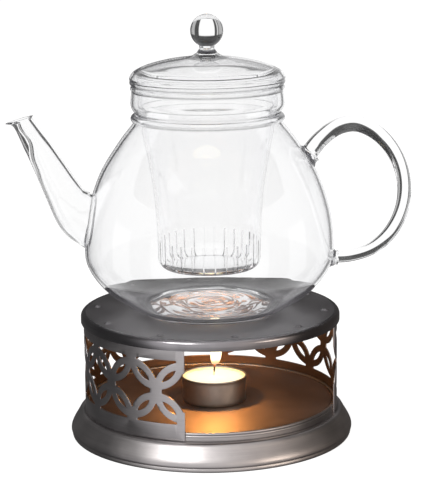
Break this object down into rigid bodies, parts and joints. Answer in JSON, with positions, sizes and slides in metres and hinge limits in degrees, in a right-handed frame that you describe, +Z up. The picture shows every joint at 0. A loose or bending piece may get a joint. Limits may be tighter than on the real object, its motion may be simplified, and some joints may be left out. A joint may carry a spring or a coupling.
{
  "type": "glass teapot",
  "caption": "Clear glass teapot with a lift-out glass infuser and knobbed lid, standing on an open-work steel warmer that holds a lit tea light.",
  "frame": {"origin": "centre of the warmer's underside, on the table", "axes": "+Z up; the spout points to -X, the handle to +X, and the warmer's front gap faces -Y turned towards +X"},
  "size_m": [0.2297, 0.163, 0.2416],
  "materials": {
    "warmer_steel": "satin gunmetal",
    "cup_aluminium": "thin pressed foil",
    "candle_wax": "waxy, translucent",
    "clip_steel": "plain",
    "wick_cotton": "braided, burnt at the tip",
    "clear_glass": "clear borosilicate, polished"
  },
  "bodies": {
    "warmer": {"warmer_foot": "warmer_steel", "warmer_tray": "warmer_steel", "tray_collar": "warmer_steel", "lattice_wall": "warmer_steel", "top_plate": "warmer_steel"},
    "tealight": {"tealight_cup": "cup_aluminium", "tealight_wax": "candle_wax", "wick_clip": "clip_steel", "wick": "wick_cotton"},
    "pot": {"pot_body": "clear_glass", "pot_rim": "clear_glass", "spout": "clear_glass", "spout_weld": "clear_glass", "handle": "clear_glass", "handle_upper_weld": "clear_glass", "handle_lower_weld": "clear_glass"},
    "infuser": {"infuser_basket": "clear_glass", "infuser_collar": "clear_glass", "infuser_rim": "clear_glass"},
    "lid": {"lid_dome": "clear_glass", "lid_rim": "clear_glass", "lid_flange": "clear_glass", "knob_neck": "clear_glass", "knob_ball": "clear_glass"}
  },
  "joints": [
    {"name": "tealight_lift", "type": "slide", "parent": "warmer", "child": "tealight", "axis": [0, 0, 1], "range_m": [0, 0.01]},
    {"name": "pot_lift", "type": "slide", "parent": "warmer", "child": "pot", "axis": [0, 0, 1], "range_m": [0, 0.12]},
    {"name": "infuser_lift", "type": "slide", "parent": "pot", "child": "infuser", "axis": [0, 0, 1], "range_m": [0, 0.11]},
    {"name": "lid_lift", "type": "slide", "parent": "infuser", "child": "lid", "axis": [0, 0, 1], "range_m": [0, 0.06]}
  ]
}
